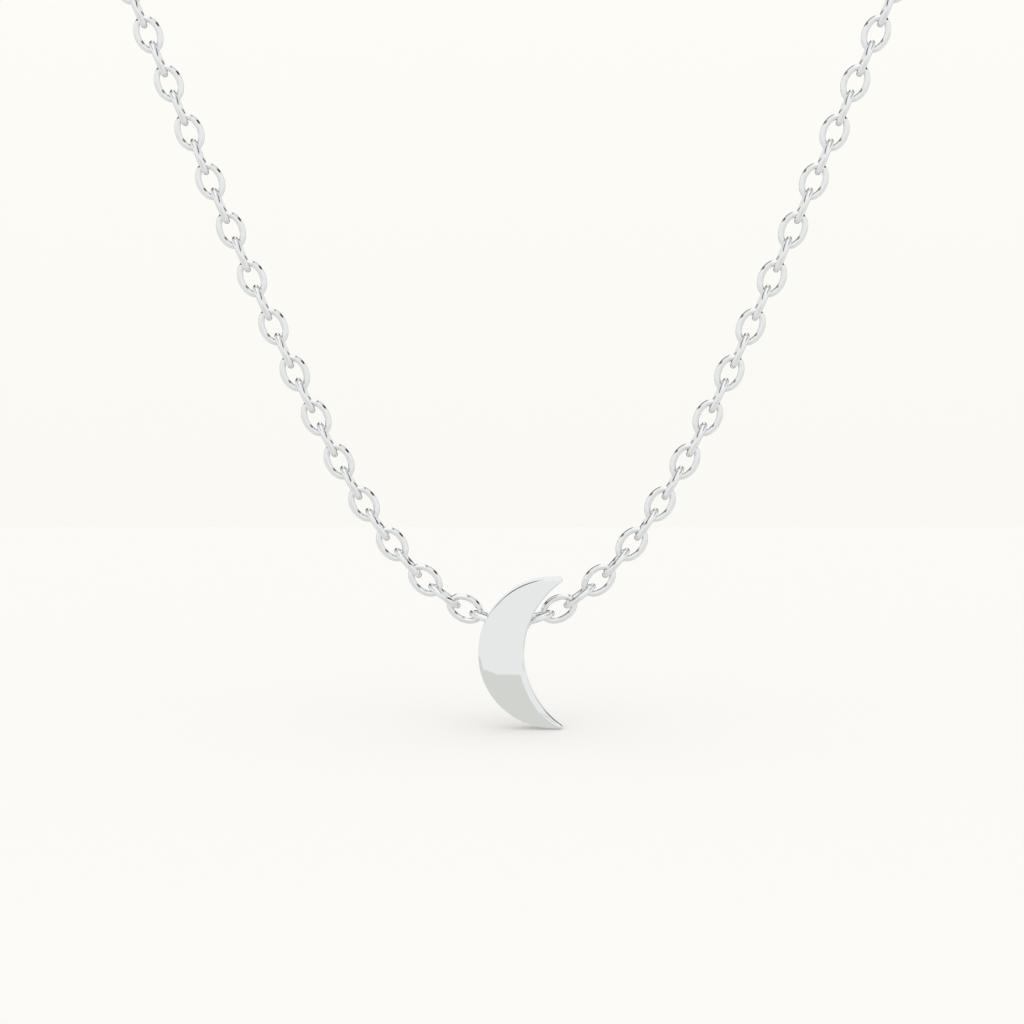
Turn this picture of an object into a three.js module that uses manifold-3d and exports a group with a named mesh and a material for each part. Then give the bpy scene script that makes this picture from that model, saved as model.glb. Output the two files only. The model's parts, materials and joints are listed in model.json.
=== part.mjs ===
// A pendant necklace: a solid crescent moon on a cable chain, closed by a spring ring clasp at the nape.
// Millimetres, +Z up, the wearer looks along -Y and +X is the right of a person who faces the necklace.
// The origin is the middle of the clasp, where the chain rests on the nape of the neck.
// The chain lies as it is worn: a flat V in front, then both runs go round the neck to the clasp.
// Each link lies across its neighbour, the middle link carries the moon, and the links next to it
// are modelled one by one. A run is a plain tube that stands for the rest of the links of its side.
import * as THREE from "three";
import { mergeVertices } from "three/addons/utils/BufferGeometryUtils.js";
import Module from "manifold-3d";

// Chain
const linkWire = 0.32;
const linkHoleLength = 1.38;
const linkHoleWidth = 0.81;
const slackGap = 0.095; // between the wires of two lower links, which hang loosely in each other
const tautGap = 0.02; // between the wires of two upper links
const tautFrom = 16; // the first upper joint, counted from the middle
const linksPerSide = 24; // modelled one by one, beside the middle link
const vSlope = 68; // degrees, the slope that the V reaches
const vTurn = 5.85; // links over which the V turns to that slope
const vSharpness = 0.77;

// Loop round the neck
const frontDepth = 88; // from the clasp to the plane of the V
const frontDrop = 113.15; // from the clasp down to the middle link
const straightRun = 17; // of the run that still lies in the plane of the V
const neckHalfWidth = 52;
const sideDepth = 42; // from the clasp to the widest place
const sideDrop = 27;
const sideClimb = 32; // degrees, of the run at its widest place
const frontHandle = 26; // of the curves that carry the run round the neck
const sideHandle = 24;
const napeHandle = 24;
const runSteps = 56;
const runSides = 8;

// Moon
const moonRadius = 3.9;
const biteRadius = 4.64; // of the circle that is cut away
const biteOffset = 3.12;
const tipRadius = 0.05;
const moonThickness = 1.25;
const moonBevel = 0.03;
const moonAside = 2.15; // from the middle link to the centre of the moon's circle
const moonBelow = 1.33;
const moonClear = 1.0; // from the plane of the V to the back of the moon

// Bail, a U of wire on the back of the moon round the top wire of the middle link
const bailWire = 0.3;
const bailGap = 0.03;
const solderGap = 0.02;

// Spring ring clasp
const claspRadius = 2.2; // to the middle of the bent tube
const claspTubeRadius = 0.55;
const claspBoreRadius = 0.34;
const claspMouth = [112, 150]; // degrees from +X, the opening for the end ring
const slotAngles = [-86, -22]; // degrees, the slot that the thumb piece slides in
const slotWidth = 0.36;
const boreStart = -148; // degrees, the closed end that the spring rests on
const boreEnd = 168; // degrees, the end of the socket across the mouth
const pinRadius = 0.25;
const pinTail = -36; // degrees
const pinTip = 160;
const thumbAngle = -27;
const thumbRadius = 0.15;
const thumbHeight = 0.35;
const thumbHead = 0.24;
const springWire = 0.09;
const springRadius = 0.24; // to the middle of its wire
const springTurns = 9;
const springStart = -146;
const springEnd = -38;
const eyeletRadius = 0.58;
const eyeletWire = 0.36;
const ringGap = 0.04;

// Jump rings
const endRingRadius = 1.5;
const endRingWire = 0.4;
const jumpRingRadius = 1.0;
const jumpRingWire = 0.36;

const silver = { color: 0xe6e8e9, metalness: 1, roughness: 0.08 };
const chainMetal = new THREE.MeshStandardMaterial(silver);
const moonMetal = new THREE.MeshStandardMaterial({ ...silver, roughness: 0.04 });
const claspMetal = new THREE.MeshStandardMaterial({ ...silver, roughness: 0.12 });
const springMetal = new THREE.MeshStandardMaterial({ ...silver, color: 0xb9bbbd, roughness: 0.25 });

const wasm = await Module();
wasm.setup();

const necklace = new THREE.Group();
necklace.name = "pendant_necklace";

function addMesh(name, geometry, material) {
  const mesh = new THREE.Mesh(geometry, material);
  mesh.name = name;
  necklace.add(mesh);
  return mesh;
}

function solidOf(geometry) {
  const bare = geometry.clone();
  bare.deleteAttribute("normal");
  bare.deleteAttribute("uv");
  const merged = mergeVertices(bare, 1e-4);
  return new wasm.Manifold(
    new wasm.Mesh({
      numProp: 3,
      vertProperties: merged.attributes.position.array,
      triVerts: new Uint32Array(merged.index.array),
    }),
  );
}

function geometryOf(solid) {
  const mesh = solid.getMesh();
  const geometry = new THREE.BufferGeometry();
  geometry.setAttribute("position", new THREE.BufferAttribute(mesh.vertProperties, 3));
  geometry.setIndex(new THREE.BufferAttribute(mesh.triVerts, 1));
  geometry.computeVertexNormals();
  return geometry;
}

// A ring of round wire bent to an oval, its length along X and its width along Y.
function ovalRing(length, width, wire, segments = 16, sides = 6) {
  const ring = new THREE.TorusGeometry(1, wire / 2, sides, segments);
  const position = ring.attributes.position;
  const halfLength = (length - wire) / 2;
  const halfWidth = (width - wire) / 2;
  const outward = new THREE.Vector2();
  for (let i = 0; i < position.count; i++) {
    const angle = Math.atan2(position.getY(i), position.getX(i));
    const fromMiddle = Math.hypot(position.getX(i), position.getY(i)) - 1;
    outward.set(halfWidth * Math.cos(angle), halfLength * Math.sin(angle));
    outward.normalize().multiplyScalar(fromMiddle);
    position.setX(i, halfLength * Math.cos(angle) + outward.x);
    position.setY(i, halfWidth * Math.sin(angle) + outward.y);
  }
  return ring;
}

const linkLength = linkHoleLength + 2 * linkWire;
const linkWidth = linkHoleWidth + 2 * linkWire;
const linkRing = () => ovalRing(linkLength, linkWidth, linkWire);

// The turn that lays a ring's length along one direction and its hole's axis along another.
function layRing(along, holeAxis) {
  const across = new THREE.Vector3().crossVectors(holeAxis, along);
  return new THREE.Matrix4().makeBasis(along, across, holeAxis);
}

function arcPoints(x, y, radius, from, to, count) {
  return Array.from({ length: count + 1 }, (_, i) => {
    const angle = from + ((to - from) * i) / count;
    return new THREE.Vector2(x + radius * Math.cos(angle), y + radius * Math.sin(angle));
  });
}

const roundSection = (radius, sides) =>
  new THREE.Shape(arcPoints(0, 0, radius, 0, 2 * Math.PI, sides).slice(0, sides));

const rodAlong = (path, radius, sides, steps) =>
  new THREE.ExtrudeGeometry(roundSection(radius, sides), { steps, extrudePath: path });

// An arc of a circle that lies in the XZ plane or the YZ plane; angles turn from the first axis to Z.
class ArcCurve extends THREE.Curve {
  constructor(centre, firstAxis, radius, fromDegrees, toDegrees) {
    super();
    Object.assign(this, { centre, firstAxis, radius, fromDegrees, toDegrees });
  }
  getPoint(t) {
    const angle = THREE.MathUtils.degToRad(THREE.MathUtils.lerp(this.fromDegrees, this.toDegrees, t));
    const point = this.centre.clone().addScaledVector(this.firstAxis, this.radius * Math.cos(angle));
    point.z += this.radius * Math.sin(angle);
    return point;
  }
}

const rightward = new THREE.Vector3(1, 0, 0);
const backward = new THREE.Vector3(0, 1, 0);
const origin = new THREE.Vector3();

// ---- The V of links ----

const endWire = (linkLength - linkWire) / 2; // from a link's middle to the middle of its end wire

// From a link's middle to one of its joints, which are counted from the middle of the V.
function toJoint(joint) {
  return endWire - (linkWire + (joint < tautFrom ? slackGap : tautGap)) / 2;
}

// The links of one side from the middle outwards, where side is 1 on the right and -1 on the left.
function layLinks(side) {
  const joint = new THREE.Vector3(side * toJoint(1), -frontDepth, -frontDrop);
  const links = [];
  for (let number = 1; number <= linksPerSide + 1; number++) {
    const slope = THREE.MathUtils.degToRad(vSlope * Math.tanh((number / vTurn) ** vSharpness));
    const along = new THREE.Vector3(side * Math.cos(slope), 0, Math.sin(slope));
    const centre = joint.clone().addScaledVector(along, toJoint(number));
    const holeAxis = number % 2 ? new THREE.Vector3().crossVectors(along, backward) : backward;
    links.push({ number, centre, along, holeAxis });
    joint.copy(centre).addScaledVector(along, toJoint(number + 1));
  }
  return links;
}

const middle = new THREE.Vector3(0, -frontDepth, -frontDrop);
const centerLink = addMesh("center_link", linkRing(), chainMetal);
centerLink.position.copy(middle);
centerLink.quaternion.setFromRotationMatrix(layRing(rightward, backward));

const sides = { left: layLinks(-1), right: layLinks(1) };
for (const [side, links] of Object.entries(sides)) {
  for (const { number, centre, along, holeAxis } of links.slice(0, linksPerSide)) {
    const link = addMesh(`${side}_link_${String(number).padStart(2, "0")}`, linkRing(), chainMetal);
    link.position.copy(centre);
    link.quaternion.setFromRotationMatrix(layRing(along, holeAxis));
  }
}

// ---- Moon and bail ----

// The crescent in its own plane, round the centre of its outer circle, with rounded horns.
function crescentOutline() {
  const outer = moonRadius - tipRadius;
  const inner = biteRadius + tipRadius;
  const tipX = (outer ** 2 - inner ** 2 + biteOffset ** 2) / (2 * biteOffset);
  const tipY = Math.sqrt(outer ** 2 - tipX ** 2);
  const outerAngle = Math.atan2(tipY, tipX);
  const innerAngle = Math.atan2(tipY, tipX - biteOffset);
  return [
    ...arcPoints(0, 0, moonRadius, outerAngle, 2 * Math.PI - outerAngle, 56),
    ...arcPoints(tipX, -tipY, tipRadius, -outerAngle, Math.PI - innerAngle, 5).slice(1),
    ...arcPoints(biteOffset, 0, biteRadius, 2 * Math.PI - innerAngle, innerAngle, 36).slice(1),
    ...arcPoints(tipX, tipY, tipRadius, innerAngle - Math.PI, outerAngle, 5).slice(1, -1),
  ];
}

const moonBack = -frontDepth - moonClear;
const moonShape = new THREE.Shape(crescentOutline());
const moonSolid = new THREE.ExtrudeGeometry(moonShape, {
  depth: moonThickness - 2 * moonBevel,
  bevelThickness: moonBevel,
  bevelSize: moonBevel,
  bevelOffset: -moonBevel,
  bevelSegments: 1,
});
moonSolid.translate(0, 0, moonBevel);
const moon = addMesh("moon_body", moonSolid, moonMetal);
moon.position.set(moonAside, moonBack, -frontDrop - moonBelow);
moon.rotation.x = Math.PI / 2;

const hangHeight = -frontDrop + (linkWidth - linkWire) / 2; // of the top wire of the middle link
const bailReach = (linkWire + bailWire) / 2 + bailGap;
const bailPath = new THREE.CurvePath();
const bailBend = new ArcCurve(
  new THREE.Vector3(0, -frontDepth, hangHeight), backward, bailReach, 90, -90,
);
const bailEnd = (y, up) => new THREE.Vector3(0, y, hangHeight + up * bailReach);
bailPath.add(new THREE.LineCurve3(bailEnd(moonBack + solderGap, 1), bailEnd(-frontDepth, 1)));
bailPath.add(bailBend);
bailPath.add(new THREE.LineCurve3(bailEnd(-frontDepth, -1), bailEnd(moonBack + solderGap, -1)));
addMesh("bail_staple", rodAlong(bailPath, bailWire / 2, 8, 24), moonMetal);

// ---- Clasp, its ring in the XZ plane round the origin ----

const claspArc = (from, to) => new ArcCurve(origin, rightward, claspRadius, from, to);
const [mouthStart, mouthEnd] = claspMouth;

// A flat ring sector of the given width along Y, used to cut the slot.
function slotCutter() {
  const [from, to] = slotAngles.map(THREE.MathUtils.degToRad);
  const sector = new THREE.Shape([
    ...arcPoints(0, 0, claspRadius + claspBoreRadius / 2, from, to, 10),
    ...arcPoints(0, 0, claspRadius + 2 * claspTubeRadius, to, from, 10),
  ]);
  const cutter = new THREE.ExtrudeGeometry(sector, { depth: slotWidth, bevelEnabled: false });
  return cutter.translate(0, 0, -slotWidth / 2).rotateX(Math.PI / 2);
}

function claspTube() {
  const tube = solidOf(rodAlong(claspArc(mouthEnd, mouthStart + 360), claspTubeRadius, 12, 46));
  const bore = solidOf(rodAlong(claspArc(boreStart, boreEnd), claspBoreRadius, 10, 44));
  return geometryOf(tube.subtract(bore).subtract(solidOf(slotCutter())));
}

function thumbPin() {
  const pin = solidOf(rodAlong(claspArc(pinTail, pinTip), pinRadius, 10, 28));
  const reach = claspTubeRadius + thumbHeight;
  const stem = new THREE.CylinderGeometry(thumbRadius, thumbRadius, reach, 10);
  stem.translate(0, claspRadius + reach / 2, 0);
  const head = new THREE.SphereGeometry(thumbHead, 10, 6).translate(0, claspRadius + reach, 0);
  const thumb = solidOf(stem).add(solidOf(head));
  const turned = new THREE.Matrix4().makeRotationY(THREE.MathUtils.degToRad(90 - thumbAngle));
  const upright = new THREE.Matrix4().makeRotationX(Math.PI / 2);
  const placed = geometryOf(thumb).applyMatrix4(turned.multiply(upright));
  return geometryOf(pin.add(solidOf(placed)));
}

// A coil of wire that follows the bend of the bore.
class SpringCurve extends THREE.Curve {
  getPoint(t) {
    const angle = THREE.MathUtils.degToRad(THREE.MathUtils.lerp(springStart, springEnd, t));
    const turn = 2 * Math.PI * springTurns * t;
    const distance = claspRadius + springRadius * Math.cos(turn);
    return new THREE.Vector3(
      distance * Math.cos(angle), springRadius * Math.sin(turn), distance * Math.sin(angle),
    );
  }
}

addMesh("clasp_tube", claspTube(), claspMetal);
addMesh("clasp_trigger", thumbPin(), claspMetal);
addMesh("clasp_spring", rodAlong(new SpringCurve(), springWire / 2, 5, springTurns * 12), springMetal);

const eyeletPlace = claspRadius + claspTubeRadius + solderGap + eyeletRadius + eyeletWire / 2;
const eyeletSize = 2 * eyeletRadius + eyeletWire;
const eyelet = addMesh("clasp_eyelet", ovalRing(eyeletSize, eyeletSize, eyeletWire, 20, 8), claspMetal);
eyelet.position.x = eyeletPlace;
eyelet.rotation.x = Math.PI / 2;

// A ring in the XY plane that hangs in what it holds: its wire's middle, measured along X from there.
function jumpRing(name, radius, wire, centre) {
  const size = 2 * radius + wire;
  addMesh(name, ovalRing(size, size, wire, 28, 8), claspMetal).position.x = centre;
}

const jumpRingPlace =
  eyeletPlace + eyeletRadius - eyeletWire / 2 - ringGap - jumpRingWire / 2 + jumpRingRadius;
jumpRing("clasp_jump_ring", jumpRingRadius, jumpRingWire, jumpRingPlace);
const endRingPlace = -(claspRadius - claspTubeRadius - ringGap - endRingWire / 2 + endRingRadius);
jumpRing("end_ring", endRingRadius, endRingWire, endRingPlace);

// ---- The runs round the neck ----

// The middle of the last link of a run, which hangs in a ring at the clasp.
const lastLinkFrom = (ringPlace, radius, wire) =>
  Math.abs(ringPlace) + radius - wire / 2 - ringGap - linkWire / 2 + endWire;

function addRun(side, firstLink, lastLinkPlace) {
  const sign = side === "right" ? 1 : -1;
  const nape = new THREE.Vector3(sign * lastLinkPlace, 0, 0);
  const toNape = new THREE.Vector3(-sign, 0, 0);
  const leaves = firstLink.centre.clone().addScaledVector(firstLink.along, straightRun);
  const widest = new THREE.Vector3(sign * neckHalfWidth, -sideDepth, -sideDrop);
  const climbAngle = THREE.MathUtils.degToRad(sideClimb);
  const climb = new THREE.Vector3(0, Math.cos(climbAngle), Math.sin(climbAngle));
  const path = new THREE.CurvePath();
  path.add(new THREE.LineCurve3(firstLink.centre, leaves));
  path.add(new THREE.CubicBezierCurve3(
    leaves,
    leaves.clone().addScaledVector(firstLink.along, frontHandle),
    widest.clone().addScaledVector(climb, -sideHandle),
    widest,
  ));
  path.add(new THREE.CubicBezierCurve3(
    widest,
    widest.clone().addScaledVector(climb, sideHandle),
    nape.clone().addScaledVector(toNape, -napeHandle),
    nape,
  ));
  const place = (ring, at, along, holeAxis) =>
    ring.applyMatrix4(layRing(along, holeAxis).setPosition(at));
  const first = place(linkRing(), firstLink.centre, firstLink.along, firstLink.holeAxis);
  const last = place(linkRing(), nape, rightward, backward);
  const tube = rodAlong(path, linkWidth / 2, runSides, runSteps);
  const run = solidOf(tube).add(solidOf(first)).add(solidOf(last));
  addMesh(`${side}_run`, geometryOf(run), chainMetal);
}

addRun("left", sides.left.at(-1), lastLinkFrom(endRingPlace, endRingRadius, endRingWire));
addRun("right", sides.right.at(-1), lastLinkFrom(jumpRingPlace, jumpRingRadius, jumpRingWire));

export default necklace;
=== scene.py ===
import json
import math

import bmesh
import bpy
import numpy as np
from mathutils import Matrix, Vector


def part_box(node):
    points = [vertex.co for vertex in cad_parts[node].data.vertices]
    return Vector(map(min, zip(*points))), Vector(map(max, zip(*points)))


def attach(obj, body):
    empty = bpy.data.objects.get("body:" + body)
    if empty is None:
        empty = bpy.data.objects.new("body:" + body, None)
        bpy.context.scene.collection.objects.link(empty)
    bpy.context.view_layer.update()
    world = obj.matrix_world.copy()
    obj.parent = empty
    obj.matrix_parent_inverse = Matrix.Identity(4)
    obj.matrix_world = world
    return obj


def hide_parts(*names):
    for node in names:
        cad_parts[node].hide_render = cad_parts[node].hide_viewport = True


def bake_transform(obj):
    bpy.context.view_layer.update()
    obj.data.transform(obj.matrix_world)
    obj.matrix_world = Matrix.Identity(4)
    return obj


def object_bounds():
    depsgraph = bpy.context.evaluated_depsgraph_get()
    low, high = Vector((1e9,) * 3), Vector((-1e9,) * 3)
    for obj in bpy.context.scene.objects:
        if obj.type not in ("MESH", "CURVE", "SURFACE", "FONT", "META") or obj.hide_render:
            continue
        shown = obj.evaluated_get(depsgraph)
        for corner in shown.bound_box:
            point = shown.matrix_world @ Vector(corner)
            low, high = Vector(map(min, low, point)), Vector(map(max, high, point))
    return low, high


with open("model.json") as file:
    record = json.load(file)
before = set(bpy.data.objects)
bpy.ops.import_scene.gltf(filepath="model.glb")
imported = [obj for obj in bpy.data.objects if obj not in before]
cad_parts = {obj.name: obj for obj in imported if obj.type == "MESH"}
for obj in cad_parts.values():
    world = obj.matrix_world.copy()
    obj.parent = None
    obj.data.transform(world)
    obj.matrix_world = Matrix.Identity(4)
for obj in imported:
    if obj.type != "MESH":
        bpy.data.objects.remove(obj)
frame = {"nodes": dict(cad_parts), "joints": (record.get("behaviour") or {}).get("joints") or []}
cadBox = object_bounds()
scene = bpy.context.scene
mm = 0.001
print("frame loaded:", len(frame["nodes"]), "nodes")


# Node trees

class Signal:  # a shader socket that can stand in a sum
    def __init__(self, maker, socket):
        self.maker = maker
        self.socket = socket

    def combine(self, operation, first, second):
        node = self.maker.add("ShaderNodeMath", {"operation": operation}, {0: first, 1: second})
        return Signal(self.maker, node.outputs[0])

    def __add__(self, other):
        return self.combine("ADD", self, other)

    def __sub__(self, other):
        return self.combine("SUBTRACT", self, other)

    def __rsub__(self, other):
        return self.combine("SUBTRACT", other, self)

    def __mul__(self, other):
        return self.combine("MULTIPLY", self, other)

    def __gt__(self, other):
        return self.combine("GREATER_THAN", self, other)

    __radd__ = __add__
    __rmul__ = __mul__


class TreeMaker:
    def __init__(self, tree):
        self.tree = tree

    def add(self, kind, settings=None, sockets=None):
        node = self.tree.nodes.new(kind)
        for name, value in (settings or {}).items():
            if name == "stops":
                self.setStops(node.color_ramp, value)
            else:
                setattr(node, name, value)
        for key, value in (sockets or {}).items():
            self.feed(node.inputs[key], value)
        return node

    def feed(self, socket, value):
        if isinstance(value, Signal):
            value = value.socket
        if isinstance(value, bpy.types.NodeSocket):
            self.tree.links.new(value, socket)
        else:
            socket.default_value = value

    def setStops(self, ramp, stops):
        while len(ramp.elements) < len(stops):
            ramp.elements.new(0.5)
        for element, (position, colour) in zip(ramp.elements, stops):
            element.position = position
            element.color = colour

    def signal(self, node, output=0):
        return Signal(self, node.outputs[output])


def newGeometryTree(name, inputs):
    tree = bpy.data.node_groups.new(name, "GeometryNodeTree")
    tree.interface.new_socket(name="Geometry", in_out="OUTPUT", socket_type="NodeSocketGeometry")
    for label, kind in [("Geometry", "Geometry")] + inputs:
        tree.interface.new_socket(name=label, in_out="INPUT", socket_type="NodeSocket" + kind)
    maker = TreeMaker(tree)
    given = maker.add("NodeGroupInput").outputs
    return tree, maker, given


def finishTree(maker, geometry, material):  # every tree ends the same way
    real = maker.add("GeometryNodeRealizeInstances", sockets={"Geometry": geometry})
    dressed = maker.add(
        "GeometryNodeSetMaterial", sockets={"Geometry": real.outputs[0], "Material": material})
    maker.add("NodeGroupOutput", sockets={"Geometry": dressed.outputs[0]})


def sweep(maker, line, wire, sides, closeEnds):  # round wire along a line
    section = maker.add("GeometryNodeCurvePrimitiveCircle", {"mode": "RADIUS"}, {
        "Resolution": sides, "Radius": Signal(maker, wire) * 0.5})
    swept = maker.add("GeometryNodeCurveToMesh", sockets={
        "Curve": line, "Profile Curve": section.outputs[0], "Fill Caps": closeEnds})
    return maker.add("GeometryNodeSetShadeSmooth", sockets={"Geometry": swept.outputs[0]}).outputs[0]


def grow(name, tree, values, data=None):  # runs a tree and keeps its result as a plain mesh
    source = bpy.data.objects.new(name + "_source", data or bpy.data.meshes.new(name + "_source"))
    scene.collection.objects.link(source)
    modifier = source.modifiers.new("grow", "NODES")
    modifier.node_group = tree
    for item in tree.interface.items_tree:
        if item.in_out == "INPUT" and item.name in values:
            modifier[item.identifier] = values[item.name]
    evaluated = source.evaluated_get(bpy.context.evaluated_depsgraph_get())
    mesh = bpy.data.meshes.new_from_object(evaluated)
    bpy.data.objects.remove(source)
    return keepMesh(name, mesh)


def keepMesh(name, mesh):
    mesh.name = name
    shape = bmesh.new()
    shape.from_mesh(mesh)
    bmesh.ops.remove_doubles(shape, verts=shape.verts, dist=1e-7)
    bmesh.ops.recalc_face_normals(shape, faces=shape.faces)
    shape.to_mesh(mesh)
    shape.free()
    piece = bpy.data.objects.new(name, mesh)
    scene.collection.objects.link(piece)
    return piece


def settle(piece, body, slot, *nodes):
    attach(piece, body)
    if nodes:
        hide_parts(*nodes)
    return piece


# Metals

chainFinish = {
    "colour": (0.885, 0.89, 0.895), "roughness": 0.07, "haze": 0.05, "grain": 2600, "relief": 0.02}
moonFinish = {
    "colour": (0.885, 0.885, 0.885), "roughness": 0.004, "haze": 0.004, "grain": 900, "relief": 0.0}
claspFinish = {
    "colour": (0.87, 0.875, 0.88), "roughness": 0.1, "haze": 0.08, "grain": 1800, "relief": 0.04}
springFinish = {
    "colour": (0.62, 0.63, 0.64), "roughness": 0.22, "haze": 0.1, "grain": 3000, "relief": 0.05}
tints = {"darker": 0.97, "lighter": 1.02, "depth": 0.01 * mm}


def polishedMetal(name, finish):
    material = bpy.data.materials.new(name)
    material.use_nodes = True
    material.node_tree.nodes.clear()
    maker = TreeMaker(material.node_tree)
    place = maker.add("ShaderNodeTexCoord").outputs["Object"]
    haze = maker.signal(maker.add(
        "ShaderNodeTexNoise", sockets={"Vector": place, "Scale": finish["grain"], "Detail": 3.0}))
    wear = maker.signal(maker.add(
        "ShaderNodeTexNoise", sockets={"Vector": place, "Scale": finish["grain"] / 6, "Detail": 2.0}))
    roughness = finish["roughness"] + (haze * wear) * finish["haze"]
    tint = maker.add("ShaderNodeMix", {"data_type": "RGBA"}, {
        "Factor": wear,
        6: tuple(tints["darker"] * c for c in finish["colour"]) + (1,),
        7: tuple(tints["lighter"] * c for c in finish["colour"]) + (1,)})
    sockets = {"Base Color": tint.outputs[2], "Metallic": 1.0, "Roughness": roughness}
    if finish["relief"]:
        bump = maker.add("ShaderNodeBump", sockets={
            "Height": haze, "Strength": finish["relief"], "Distance": tints["depth"]})
        sockets["Normal"] = bump.outputs[0]
    metal = maker.add("ShaderNodeBsdfPrincipled", sockets=sockets)
    maker.add("ShaderNodeOutputMaterial", sockets={"Surface": metal.outputs[0]})
    return material


chainSilver = polishedMetal("chain_silver", chainFinish)
moonSilver = polishedMetal("moon_silver", moonFinish)
claspSilver = polishedMetal("clasp_silver", claspFinish)
springSteel = polishedMetal("spring_steel", springFinish)
print("metals made")


# Links

link = {"length": 2.02 * mm, "width": 1.45 * mm, "wire": 0.32 * mm, "gap": 0.02 * mm}
pitch = link["length"] - 2 * link["wire"] - link["gap"]
fineLink = {"Segments": 44, "Sides": 14}
plainLink = {"Segments": 12, "Sides": 6}


def addOvalRing(maker, given):  # a ring of round wire bent to an oval, long along X
    ring = maker.add("GeometryNodeCurvePrimitiveCircle", {"mode": "RADIUS"}, {
        "Resolution": given["Segments"], "Radius": 1.0})
    halfLength = (Signal(maker, given["Length"]) - given["Wire"]) * 0.5
    halfWidth = (Signal(maker, given["Width"]) - given["Wire"]) * 0.5
    scale = maker.add("ShaderNodeCombineXYZ", sockets={"X": halfLength, "Y": halfWidth, "Z": 1.0})
    oval = maker.add("GeometryNodeTransform", sockets={
        "Geometry": ring.outputs[0], "Scale": scale.outputs[0]})
    return sweep(maker, oval.outputs[0], given["Wire"], given["Sides"], False)


ringInputs = [
    ("Length", "Float"), ("Width", "Float"), ("Wire", "Float"), ("Segments", "Int"), ("Sides", "Int")]


def makeLinkTree():
    tree, maker, given = newGeometryTree(
        "oval_ring", ringInputs + [("Centre", "Vector"), ("Turn", "Rotation"), ("Metal", "Material")])
    placed = maker.add("GeometryNodeTransform", sockets={
        "Geometry": addOvalRing(maker, given),
        "Translation": given["Centre"], "Rotation": given["Turn"]})
    finishTree(maker, placed.outputs[0], given["Metal"])
    return tree


linkTree = makeLinkTree()
linkSizes = {"Length": link["length"], "Width": link["width"], "Wire": link["wire"]}


def layOf(node):  # a ring's middle, the direction of its length and the axis of its hole
    mesh = frame["nodes"][node].data
    points = np.array([v.co for v in mesh.vertices], float)
    low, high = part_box(node)
    middle = (low + high) / 2
    _, axes = np.linalg.eigh(np.cov((points - np.array(middle)).T))
    return middle, Vector(axes[:, 2]), Vector(axes[:, 0])


def turnTo(along, holeAxis):
    across = holeAxis.cross(along)
    return Matrix((along, across, holeAxis)).transposed().to_euler()


linkNodes = ["center_link"] + [
    f"{side}_link_{number:02d}" for side in ("left", "right") for number in range(1, 25)]
for node in linkNodes:
    middle, along, holeAxis = layOf(node)
    piece = grow(node + "_ring", linkTree, {
        **linkSizes, **fineLink, "Centre": middle, "Turn": turnTo(along, holeAxis), "Metal": chainSilver})
    settle(piece, node, "chain_silver", node)
print("links made:", len(linkNodes))


# The chain round the neck

run = {
    "slope": 68, "turn": 5.85, "sharpness": 0.77,
    "straight": 17 * mm, "halfWidth": 52 * mm, "depth": 42 * mm, "drop": 27 * mm, "climb": 32,
    "frontHandle": 26 * mm, "sideHandle": 24 * mm, "napeHandle": 24 * mm,
    "shown": 8, "linksModelled": 24}


def makeChainTree():
    tree, maker, given = newGeometryTree("chain_along_path", [
        ("Links", "Int"), ("First", "Int"), ("Last", "Int"), *ringInputs, ("Metal", "Material")])
    upright = maker.add("GeometryNodeSetCurveNormal", {"mode": "Z_UP"}, {"Curve": given["Geometry"]})
    places = maker.add("GeometryNodeResampleCurve", sockets={
        "Curve": upright.outputs[0], "Count": Signal(maker, given["Links"])})
    tangent = maker.add("GeometryNodeInputTangent").outputs[0]
    normal = maker.add("GeometryNodeInputNormal").outputs[0]
    facing = maker.add("FunctionNodeAxesToRotation", {"primary_axis": "X", "secondary_axis": "Z"}, {
        "Primary Axis": tangent, "Secondary Axis": normal})
    index = Signal(maker, maker.add("GeometryNodeInputIndex").outputs[0])
    roll = (index + 1).combine("MODULO", index + 1, 2) * (math.pi / 2)
    turn = maker.add("ShaderNodeCombineXYZ", sockets={"X": roll})
    rolled = maker.add("FunctionNodeRotateRotation", {"rotation_space": "LOCAL"}, {
        "Rotation": facing.outputs[0], "Rotate By": turn.outputs[0]})
    wanted = (index > Signal(maker, given["First"]) - 0.5) * (Signal(maker, given["Last"]) + 0.5 > index)
    copies = maker.add("GeometryNodeInstanceOnPoints", sockets={
        "Points": places.outputs[0], "Selection": wanted, "Instance": addOvalRing(maker, given),
        "Rotation": rolled.outputs[0]})
    finishTree(maker, copies.outputs[0], given["Metal"])
    return tree


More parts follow.
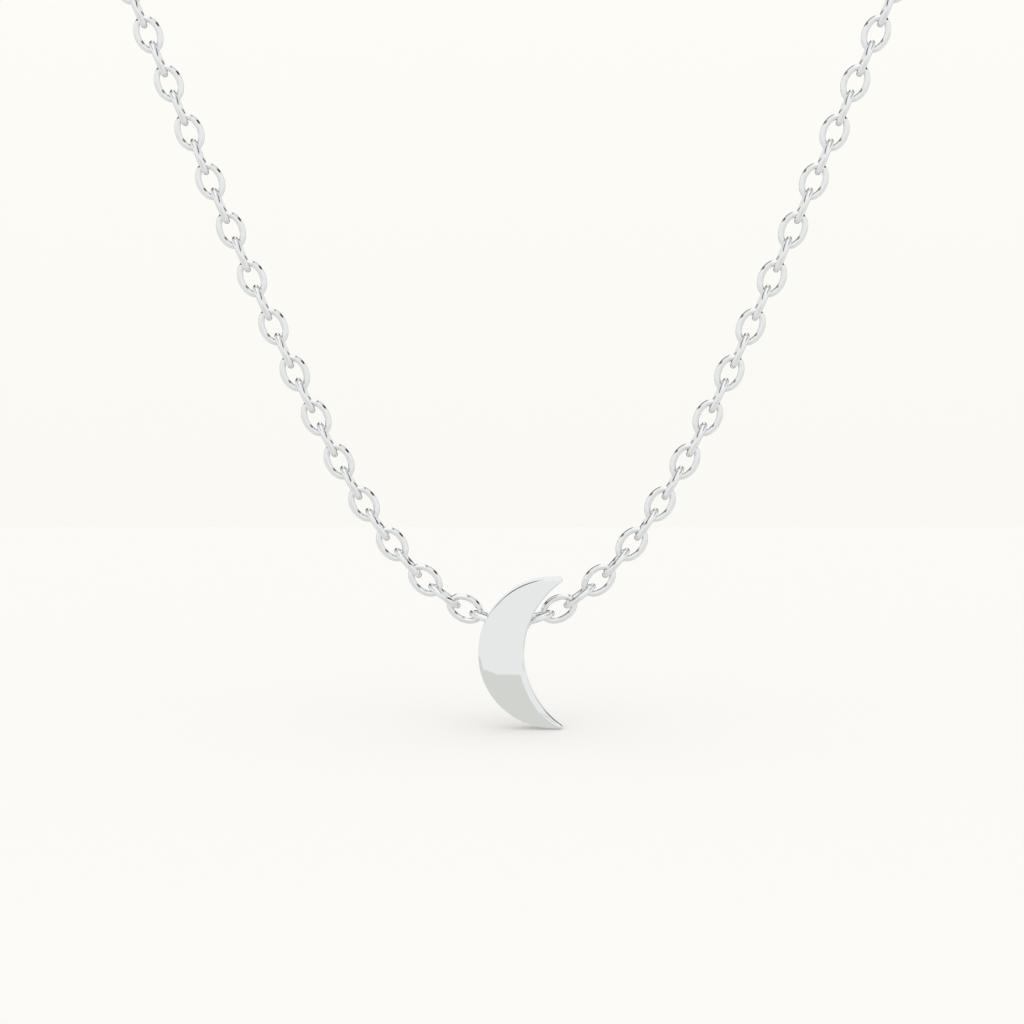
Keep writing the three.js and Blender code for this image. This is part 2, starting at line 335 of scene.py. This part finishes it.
def pathRoundNeck(side):
    sign = 1 if side == "right" else -1
    number = run["linksModelled"]
    middle, along, _ = layOf(f"{side}_link_{number:02d}")
    if along.z < 0:
        along = -along
    slope = math.radians(run["slope"] * math.tanh(((number + 1) / run["turn"]) ** run["sharpness"]))
    onward = Vector((sign * math.cos(slope), 0, math.sin(slope)))
    start = middle + along * (pitch / 2) + onward * (pitch / 2)
    leaves = start + onward * run["straight"]
    widest = Vector((sign * run["halfWidth"], -run["depth"], -run["drop"]))
    climb = Vector((0, math.cos(math.radians(run["climb"])), math.sin(math.radians(run["climb"]))))
    low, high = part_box(side + "_run")
    napeEnd = low.x if side == "right" else high.x
    nape = Vector((napeEnd + sign * link["length"] / 2, 0, 0))
    outward = Vector((sign, 0, 0))
    third = onward * (run["straight"] / 3)
    corners = [
        (start, start - third, start + third),
        (leaves, leaves - third, leaves + onward * run["frontHandle"]),
        (widest, widest - climb * run["sideHandle"], widest + climb * run["sideHandle"]),
        (nape, nape + outward * run["napeHandle"], nape - outward * run["napeHandle"])]
    path = bpy.data.curves.new(side + "_path", "CURVE")
    path.dimensions = "3D"
    path.resolution_u = 64
    spline = path.splines.new("BEZIER")
    spline.bezier_points.add(len(corners) - 1)
    for point, (place, before, after) in zip(spline.bezier_points, corners):
        point.handle_left_type = point.handle_right_type = "FREE"
        point.co, point.handle_left, point.handle_right = place, before, after
    return path, spline.calc_length()


chainTree = makeChainTree()
for side in ("left", "right"):
    path, length = pathRoundNeck(side)
    steps = round(length / pitch)
    steps += 1 - steps % 2  # odd, so that the last link lies across its ring
    for stretch, first, last, detail in (
            ("near", 0, run["shown"] - 1, fineLink), ("far", run["shown"], steps, plainLink)):
        piece = grow(f"{side}_chain_{stretch}", chainTree, {
            **linkSizes, **detail, "Links": steps + 1, "First": first, "Last": last,
            "Metal": chainSilver}, path.copy())
        settle(piece, "necklace_runs", "chain_silver", side + "_run")
    print(side, "chain:", steps + 1, "links")


# Moon

moon = {
    "radius": 3.9 * mm, "biteRadius": 4.64 * mm, "biteOffset": 3.12 * mm, "tip": 0.05 * mm,
    "edge": 0.035 * mm, "outerSlope": 0.18, "outerWidth": 0.8 * mm,
    "innerSlope": 0.34, "innerWidth": 0.3 * mm, "innerStart": 0.2 * mm, "innerFade": 0.8 * mm,
    "arcSteps": 96, "tipSteps": 6, "edgeSteps": 5, "bandSteps": 6}


def crescentRing(outside, inside):  # the outline, with its outer and inner arcs moved in by so much
    outerBend, innerBend = max(outside, moon["tip"]), max(inside, moon["tip"])
    outer, inner = moon["radius"] - outerBend, moon["biteRadius"] + innerBend
    offset = moon["biteOffset"]
    tipX = (outer ** 2 - inner ** 2 + offset ** 2) / (2 * offset)
    tipZ = math.sqrt(outer ** 2 - tipX ** 2)
    outerAngle = math.atan2(tipZ, tipX)
    innerAngle = math.atan2(tipZ, tipX - offset)
    tip = max(moon["tip"] - max(outside, inside), 0)
    arcs = [
        (0, 0, outer + tip, outerAngle, 2 * math.pi - outerAngle, moon["arcSteps"]),
        (tipX, -tipZ, tip, -outerAngle, math.pi - innerAngle, moon["tipSteps"]),
        (offset, 0, inner - tip, 2 * math.pi - innerAngle, innerAngle, moon["arcSteps"]),
        (tipX, tipZ, tip, innerAngle - math.pi, outerAngle, moon["tipSteps"])]
    points = []
    for x, z, radius, start, end, steps in arcs:
        for step in range(steps):
            angle = start + (end - start) * step / steps
            points.append((x + radius * math.cos(angle), z + radius * math.sin(angle)))
    return points


def moonRings(thickness):  # insets of the outer and inner arcs, then how far each lies below the front
    edge, turns, bands = moon["edge"], moon["edgeSteps"], moon["bandSteps"]
    outerDrop = moon["outerWidth"] * math.tan(math.radians(moon["outerSlope"])) / 2
    innerDrop = moon["innerWidth"] * math.tan(math.radians(moon["innerSlope"]))
    bend = [math.pi / 2 * step / turns for step in range(turns + 1)]
    layers = []
    for a in bend:
        inset, rise = edge * (1 - math.sin(a)), edge * (1 - math.cos(a))
        layers.append((inset, inset, thickness - rise, 0, thickness - rise))
    for a in bend:
        inset, fall = edge * (1 - math.cos(a)), edge * (1 - math.sin(a))
        layers.append((inset, inset, outerDrop + fall, innerDrop, fall))
    for band in range(1, bands + 1):
        done = band / bands
        layers.append((
            edge + (moon["outerWidth"] - edge) * done, edge + (moon["innerWidth"] - edge) * done,
            outerDrop * (1 - done) ** 2, innerDrop * (1 - done), 0))
    return layers


def makeMoon():
    low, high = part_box("moon_body")
    centreX = low.x + moon["radius"]
    centreZ = (low.z + high.z) / 2
    arc, horn = moon["arcSteps"], moon["tipSteps"]
    innerArc = range(arc + horn, 2 * arc + horn + 1)
    shape = bmesh.new()
    rings = []
    for outside, inside, outerFall, innerSlant, innerFall in moonRings(high.y - low.y):
        ring = []
        for i, (x, z) in enumerate(crescentRing(outside, inside)):
            below = -z - moon["innerStart"]  # the inner strip is only on the lower half
            lower = min(max(below / moon["innerFade"], 0), 1)
            fall = innerSlant * lower + innerFall if i in innerArc else outerFall
            ring.append(shape.verts.new((centreX + x, low.y + fall, centreZ + z)))
        rings.append(ring)
    count = len(rings[0])
    for lower, upper in zip(rings, rings[1:]):
        for i in range(count):
            j = (i + 1) % count
            shape.faces.new((lower[i], lower[j], upper[j], upper[i]))
    for ring in (rings[0], rings[-1]):
        outer = ring[:arc + 1]
        inner = ring[arc + horn:2 * arc + horn + 1][::-1]
        for i in range(arc):
            shape.faces.new((outer[i], outer[i + 1], inner[i + 1], inner[i]))
        for start in (arc, 2 * arc + horn):  # what is left at the horns
            shape.faces.new([ring[(start + i) % count] for i in range(horn + 1)])
    for face in shape.faces:
        face.smooth = True
    creased = rings[-1]
    for i in innerArc:  # a crisp line where the inner strip meets the flat front
        edge = shape.edges.get((creased[i], creased[(i + 1) % count]))
        if edge:
            edge.smooth = False
    bmesh.ops.remove_doubles(shape, verts=shape.verts, dist=1e-7)
    bmesh.ops.dissolve_degenerate(shape, edges=shape.edges, dist=1e-8)
    mesh = bpy.data.meshes.new("moon")
    shape.to_mesh(mesh)
    shape.free()
    mesh.materials.append(moonSilver)
    return settle(keepMesh("moon", mesh), "moon", "moon_silver", "moon_body")


makeMoon()
print("moon made")


# Bail

bail = {
    "wire": 0.3 * mm, "gap": 0.03 * mm, "sides": 16, "bendSteps": 24, "legSteps": 4,
    "solder": 0.14 * mm, "solderRadius": 0.3 * mm, "flare": 2.5, "flareSteps": 6}


def lineCurve(name, points):
    curve = bpy.data.curves.new(name, "CURVE")
    curve.dimensions = "3D"
    spline = curve.splines.new("POLY")
    spline.points.add(len(points) - 1)
    for point, place in zip(spline.points, points):
        point.co = (*place, 1)
    return curve


def makeWireTree():
    tree, maker, given = newGeometryTree(
        "bent_wire", [("Wire", "Float"), ("Sides", "Int"), ("Metal", "Material")])
    wire = sweep(maker, given["Geometry"], given["Wire"], given["Sides"], True)
    finishTree(maker, wire, given["Metal"])
    return tree


wireTree = makeWireTree()


def arcPoints(centre, firstAxis, radius, start, end, steps):  # degrees, from the first axis to Z
    angles = [math.radians(start + (end - start) * i / steps) for i in range(steps + 1)]
    return [
        centre + firstAxis * (radius * math.cos(angle)) + Vector((0, 0, radius * math.sin(angle)))
        for angle in angles]


def turned(name, profile, centre, axis, metal):  # a round piece from (radius, height) points
    steps = 24
    side = axis.orthogonal().normalized()
    across = axis.cross(side)
    shape = bmesh.new()
    rings = []
    for radius, height in profile:
        rings.append([shape.verts.new(
            centre + axis * height + (side * math.cos(a) + across * math.sin(a)) * radius)
            for a in (2 * math.pi * i / steps for i in range(steps))])
    for lower, upper in zip(rings, rings[1:]):
        for i in range(steps):
            shape.faces.new((lower[i], lower[i - 1], upper[i - 1], upper[i]))
    shape.faces.new(rings[0])
    shape.faces.new(rings[-1])
    for face in shape.faces:
        face.smooth = len(face.verts) == 4
    mesh = bpy.data.meshes.new(name)
    shape.to_mesh(mesh)
    shape.free()
    mesh.materials.append(metal)
    return keepMesh(name, mesh)


def makeBail():
    hang = Vector(next(j["pos_m"] for j in frame["joints"] if j["name"] == "bail_swing"))
    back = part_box("moon_body")[1].y
    reach = (link["wire"] + bail["wire"]) / 2 + bail["gap"]
    bend = arcPoints(hang, Vector((0, 1, 0)), reach, 90, -90, bail["bendSteps"])
    ends = [Vector((0, back, hang.z + up * reach)) for up in (1, -1)]
    steps = bail["legSteps"]
    legs = [ends[0].lerp(bend[0], i / steps) for i in range(steps)]
    legsBack = [bend[-1].lerp(ends[1], i / steps) for i in range(1, steps + 1)]
    piece = grow("bail", wireTree, {
        "Wire": bail["wire"], "Sides": bail["sides"], "Metal": moonSilver},
        lineCurve("bail_line", legs + bend + legsBack))
    settle(piece, "moon", "moon_silver", "bail_staple")
    inner, steps = bail["wire"] / 2, bail["flareSteps"]
    flare = [(
        inner + (bail["solderRadius"] - inner) * (1 - i / steps) ** bail["flare"],
        bail["solder"] * i / steps) for i in range(steps + 1)]
    for name, foot in zip(("upper", "lower"), ends):
        solder = turned(f"bail_solder_{name}", flare, foot, Vector((0, 1, 0)), moonSilver)
        settle(solder, "moon", "moon_silver")


makeBail()
print("bail made")


# Clasp

clasp = {
    "radius": 2.2 * mm, "tube": 0.55 * mm, "bore": 0.34 * mm, "mouth": (112, 150),
    "boreEnds": (-148, 168), "slot": (-86, -22), "slotWidth": 0.36 * mm}
trigger = {
    "wire": 0.5 * mm, "ends": (-36, 160), "angle": -27,
    "stem": 0.15 * mm, "height": 0.9 * mm, "head": 0.24 * mm}
spring = {"wire": 0.09 * mm, "radius": 0.24 * mm, "turns": 9, "turnSteps": 16, "ends": (-146, -38)}
rings = {
    "clasp_eyelet": {"wire": 0.36 * mm, "lies": "XZ", "body": "clasp"},
    "clasp_jump_ring": {"wire": 0.36 * mm, "lies": "XY", "body": "clasp"},
    "end_ring": {"wire": 0.4 * mm, "lies": "XY", "body": "end_ring"}}
right = Vector((1, 0, 0))


def bentRod(name, wire, ends, sides=28):
    line = lineCurve(name, arcPoints(Vector(), right, clasp["radius"], *ends, 96))
    return grow(name, wireTree, {"Wire": wire, "Sides": sides, "Metal": claspSilver}, line)


def cutWith(piece, tools, operation="DIFFERENCE"):
    for tool in tools:
        modifier = piece.modifiers.new("cut", "BOOLEAN")
        modifier.operation = operation
        modifier.solver = "EXACT"
        modifier.object = tool
    evaluated = piece.evaluated_get(bpy.context.evaluated_depsgraph_get())
    mesh = bpy.data.meshes.new_from_object(evaluated)
    name = piece.name
    for old in [piece, *tools]:
        bpy.data.objects.remove(old)
    finished = keepMesh(name, mesh)
    crease(finished, 35)
    return finished


def crease(piece, degrees):  # smooth shading, broken at the edges that turn more than this
    shape = bmesh.new()
    shape.from_mesh(piece.data)
    for face in shape.faces:
        face.smooth = True
    for edge in shape.edges:
        edge.smooth = not (len(edge.link_faces) == 2 and edge.calc_face_angle() > math.radians(degrees))
    shape.to_mesh(piece.data)
    shape.free()


def slotCutter():
    low, high = clasp["slot"]
    shape = bmesh.new()
    near = arcPoints(Vector(), right, clasp["radius"] + clasp["bore"] / 2, low, high, 24)
    far = arcPoints(Vector(), right, clasp["radius"] + 2 * clasp["tube"], high, low, 24)
    half = Vector((0, clasp["slotWidth"] / 2, 0))
    front = [shape.verts.new(p - half) for p in near + far]
    behind = [shape.verts.new(p + half) for p in near + far]
    shape.faces.new(front)
    shape.faces.new(behind)
    for i in range(len(front)):
        shape.faces.new((front[i - 1], front[i], behind[i], behind[i - 1]))
    mesh = bpy.data.meshes.new("slot")
    shape.to_mesh(mesh)
    shape.free()
    return keepMesh("slot", mesh)


def makeClasp():
    start, end = clasp["mouth"]
    tube = bentRod("spring_ring_tube", 2 * clasp["tube"], (end, start + 360))
    tube = cutWith(tube, [bentRod("bore", 2 * clasp["bore"], clasp["boreEnds"], 20), slotCutter()])
    settle(tube, "clasp", "clasp_silver", "clasp_tube")
    angle = math.radians(trigger["angle"])
    outward = Vector((math.cos(angle), 0, math.sin(angle)))
    head = [(trigger["head"] * math.sin(a), trigger["height"] - trigger["head"] * math.cos(a))
            for a in (math.radians(t) for t in range(40, 180, 10))]
    profile = [(trigger["stem"], 0), (trigger["stem"], trigger["height"] - trigger["head"])] + head
    thumb = turned("thumb", profile, outward * clasp["radius"], outward, claspSilver)
    pin = cutWith(bentRod("spring_ring_pin", trigger["wire"], trigger["ends"], 20), [thumb], "UNION")
    settle(pin, "clasp_trigger", "clasp_silver", "clasp_trigger")


def makeSpring():
    turns, (low, high) = spring["turns"], spring["ends"]
    steps = turns * spring["turnSteps"]
    points = []
    for i in range(steps + 1):
        share = i / steps
        angle = math.radians(low + (high - low) * share)
        turn = 2 * math.pi * turns * share
        distance = clasp["radius"] + spring["radius"] * math.cos(turn)
        points.append(Vector((
            distance * math.cos(angle), spring["radius"] * math.sin(turn), distance * math.sin(angle))))
    coil = grow("trigger_spring", wireTree, {
        "Wire": spring["wire"], "Sides": 6, "Metal": springSteel}, lineCurve("coil", points))
    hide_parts("clasp_spring")
    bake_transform(coil)  # the pin presses its far end


def makeRings():
    for node, ring in rings.items():
        low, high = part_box(node)
        size = high.x - low.x
        turn = (math.pi / 2, 0, 0) if ring["lies"] == "XZ" else (0, 0, 0)
        piece = grow(node + "_round", linkTree, {
            "Length": size, "Width": size, "Wire": ring["wire"], "Segments": 64, "Sides": 18,
            "Centre": (low + high) / 2, "Turn": turn, "Metal": claspSilver})
        settle(piece, ring["body"], "clasp_silver", node)


makeClasp()
makeSpring()
makeRings()
print("clasp made")


# Stage, light and camera

stage = {
    "colour": (0.975, 0.965, 0.93), "roughness": 0.9,
    "halfWidth": 0.4, "front": -0.45, "back": -0.0206, "gap": 0.1 * mm}
wall = {"low": (0.955, 0.947, 0.904, 1), "high": (0.982, 0.973, 0.93, 1), "from": -9, "to": -2}
camera = {"lens": 159, "sensor": 36, "distance": 0.235, "elevation": 8.5, "above": 5.77 * mm}


def makeFloor():
    level = cadBox[0][2] - stage["gap"]
    mesh = bpy.data.meshes.new("floor")
    wide = stage["halfWidth"]
    mesh.from_pydata([
        (-wide, stage["front"], level), (wide, stage["front"], level),
        (wide, stage["back"], level), (-wide, stage["back"], level)], [], [(0, 1, 2, 3)])
    floor = bpy.data.objects.new("floor", mesh)
    scene.collection.objects.link(floor)
    material = bpy.data.materials.new("floor_paper")
    material.use_nodes = True
    paper = material.node_tree.nodes["Principled BSDF"]
    paper.inputs["Base Color"].default_value = (*stage["colour"], 1)
    paper.inputs["Roughness"].default_value = stage["roughness"]
    paper.inputs["Specular IOR Level"].default_value = 0.0
    mesh.materials.append(material)
    floor.visible_glossy = False


def rampAt(degrees):  # a direction's place on a ramp that runs from straight down to straight up
    return (math.sin(math.radians(degrees)) + 1) / 2


def grey(value):
    return (value, value, value, 1)


def ramp(maker, position, stops):
    return maker.signal(maker.add("ShaderNodeValToRGB", {"stops": stops}, {"Fac": position}))


def fade(maker, value, low, high):  # 0 below low and 1 above high
    node = maker.add("ShaderNodeMapRange", {"interpolation_type": "SMOOTHSTEP"}, {
        "Value": value, "From Min": low, "From Max": high})
    return maker.signal(node)


studio = {
    "above": [  # degrees above the horizontal and the room's colour there
        (-10, (0.9, 0.915, 0.908, 1)), (30, (0.94, 0.95, 0.95, 1)),
        (50, (1.05, 1.06, 1.06, 1)), (90, (1.1, 1.1, 1.1, 1))],
    "below": [
        (-90, (0.78, 0.78, 0.76, 1)), (-35, (0.715, 0.73, 0.7, 1)), (-10, (0.725, 0.74, 0.71, 1))],
    "beside": (0.84, 0.85, 0.84, 1), "besideFrom": 0.2, "besideTo": 0.5,
    "edgeLow": -0.1836, "edgeHigh": -0.183,  # the room's lower edge, as a height on the unit sphere
    "rightFlag": [  # the rise round the view's axis and how much light is left there
        (0.48, 1), (0.53, 0.03), (0.66, 0.03), (0.70, 0.8),
        (0.87, 0.8), (0.89, 0.35), (0.92, 0.35), (0.95, 1)],
    "leftFlag": [(0.48, 1), (0.53, 0.2), (0.62, 0.2), (0.66, 0.85), (0.92, 0.85), (0.95, 1)],
    "leftBack": [(0.40, 1), (0.48, 0.2), (0.94, 0.25), (0.99, 1)],
    "front": (-0.7, -0.5), "back": (0.1, 0.4), "far": (0.955, 0.98),  # along Y, where each begins
    "rim": (0.72, 0.85), "rimTop": (0.8, 0.95), "rimShade": 0.7}


def mixColours(maker, factor, first, second, blend="MIX"):
    return maker.add("ShaderNodeMix", {"data_type": "RGBA", "blend_type": blend}, {
        "Factor": factor, 6: first, 7: second}).outputs[2]


def studioLight(maker, direction):  # what the metal mirrors: a pale room with dark flags above both sides
    x, y, z = (Signal(maker, part) for part in maker.add(
        "ShaderNodeSeparateXYZ", sockets={"Vector": direction}).outputs)
    height = z * 0.5 + 0.5
    above, below = (
        ramp(maker, height, [(rampAt(degrees), colour) for degrees, colour in studio[part]])
        for part in ("above", "below"))
    aside = fade(maker, x.combine("ABSOLUTE", x, 0), studio["besideFrom"], studio["besideTo"])
    lower = mixColours(maker, aside, below, studio["beside"])
    room = mixColours(maker, fade(maker, z, studio["edgeLow"], studio["edgeHigh"]), lower, above)
    squares = x * x + z * z + 1e-6
    rise = z.combine("DIVIDE", z, squares.combine("SQRT", squares, 0))
    rightFlag, leftFlag, leftBack = (
        ramp(maker, rise, [(place, grey(light)) for place, light in studio[flag]])
        for flag in ("rightFlag", "leftFlag", "leftBack"))
    near = 1 - fade(maker, y, *studio["far"])
    front = fade(maker, y, *studio["front"]) * near
    back = fade(maker, y, *studio["back"]) * near
    rightShade = 1 - front * (1 - rightFlag)
    leftShade = (1 - front * (1 - leftFlag)) * (1 - back * (1 - leftBack))
    side = fade(maker, x, -0.03, 0.03)
    rim = fade(maker, y, *studio["rim"]) * near * (1 - fade(maker, rise, *studio["rimTop"]))
    shade = (rightShade * side + leftShade * (1 - side)) * (1 - rim * studio["rimShade"])
    return mixColours(maker, 1.0, room, shade, "MULTIPLY")


def makeWorld():
    world = bpy.data.worlds.new("studio")
    world.use_nodes = True
    world.node_tree.nodes.clear()
    maker = TreeMaker(world.node_tree)
    direction = maker.add("ShaderNodeTexCoord").outputs["Generated"]
    height = Signal(maker, maker.add(
        "ShaderNodeSeparateXYZ", sockets={"Vector": direction}).outputs["Z"]) * 0.5 + 0.5
    backdrop = ramp(maker, height, [
        (rampAt(wall["from"]), wall["low"]), (rampAt(wall["to"]), wall["high"])])
    light = maker.add("ShaderNodeLightPath")
    reflected, seen, diffuse = (
        maker.add("ShaderNodeBackground", sockets={"Color": colour, "Strength": 1.0})
        for colour in (studioLight(maker, direction), backdrop, grey(1)))
    lit = maker.add("ShaderNodeMixShader", sockets={
        0: light.outputs["Is Glossy Ray"], 1: diffuse.outputs[0], 2: reflected.outputs[0]})
    whole = maker.add("ShaderNodeMixShader", sockets={
        0: light.outputs["Is Camera Ray"], 1: lit.outputs[0], 2: seen.outputs[0]})
    maker.add("ShaderNodeOutputWorld", sockets={"Surface": whole.outputs[0]})
    scene.world = world


def makeCamera():
    lens = bpy.data.cameras.new("camera")
    lens.lens = camera["lens"]
    lens.sensor_width = camera["sensor"]
    lens.clip_start = 0.01
    eye = bpy.data.objects.new("camera", lens)
    scene.collection.objects.link(eye)
    low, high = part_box("center_link")
    aim = (low + high) / 2 + Vector((0, 0, camera["above"]))
    tilt = math.radians(camera["elevation"])
    eye.location = aim + Vector((0, -math.cos(tilt), math.sin(tilt))) * camera["distance"]
    eye.rotation_euler = (math.pi / 2 - tilt, 0, 0)
    scene.camera = eye


makeFloor()
makeWorld()
makeCamera()
scene.view_settings.view_transform = "Standard"
print("stage made")
